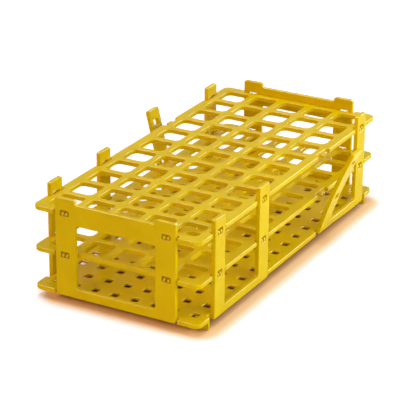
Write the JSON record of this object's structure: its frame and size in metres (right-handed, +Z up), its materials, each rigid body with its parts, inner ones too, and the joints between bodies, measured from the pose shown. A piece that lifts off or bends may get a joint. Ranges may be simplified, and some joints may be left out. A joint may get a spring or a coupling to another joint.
{
  "type": "test tube rack",
  "caption": "Low plastic test tube rack with pierced shelves, a drained base, clip-in end panels and U-shaped side frames; on one half two frame posts have come off and lean out.",
  "frame": {"origin": "on the floor, under the middle of the overall bounding box", "axes": "+X along the rack towards the half with the leaning posts, +Y across it towards the rear long side, +Z up"},
  "size_m": [0.265, 0.1666, 0.075],
  "materials": {
    "yellow_polypropylene": "smooth moulded, slightly waxy"
  },
  "bodies": {
    "root": {"top_shelf": "yellow_polypropylene", "middle_shelf": "yellow_polypropylene", "base_plate": "yellow_polypropylene", "near_end_panel": "yellow_polypropylene", "far_end_panel": "yellow_polypropylene", "front_near_side_frame": "yellow_polypropylene", "rear_near_side_frame": "yellow_polypropylene", "front_far_side_frame": "yellow_polypropylene", "rear_far_side_frame": "yellow_polypropylene"}
  },
  "joints": []
}
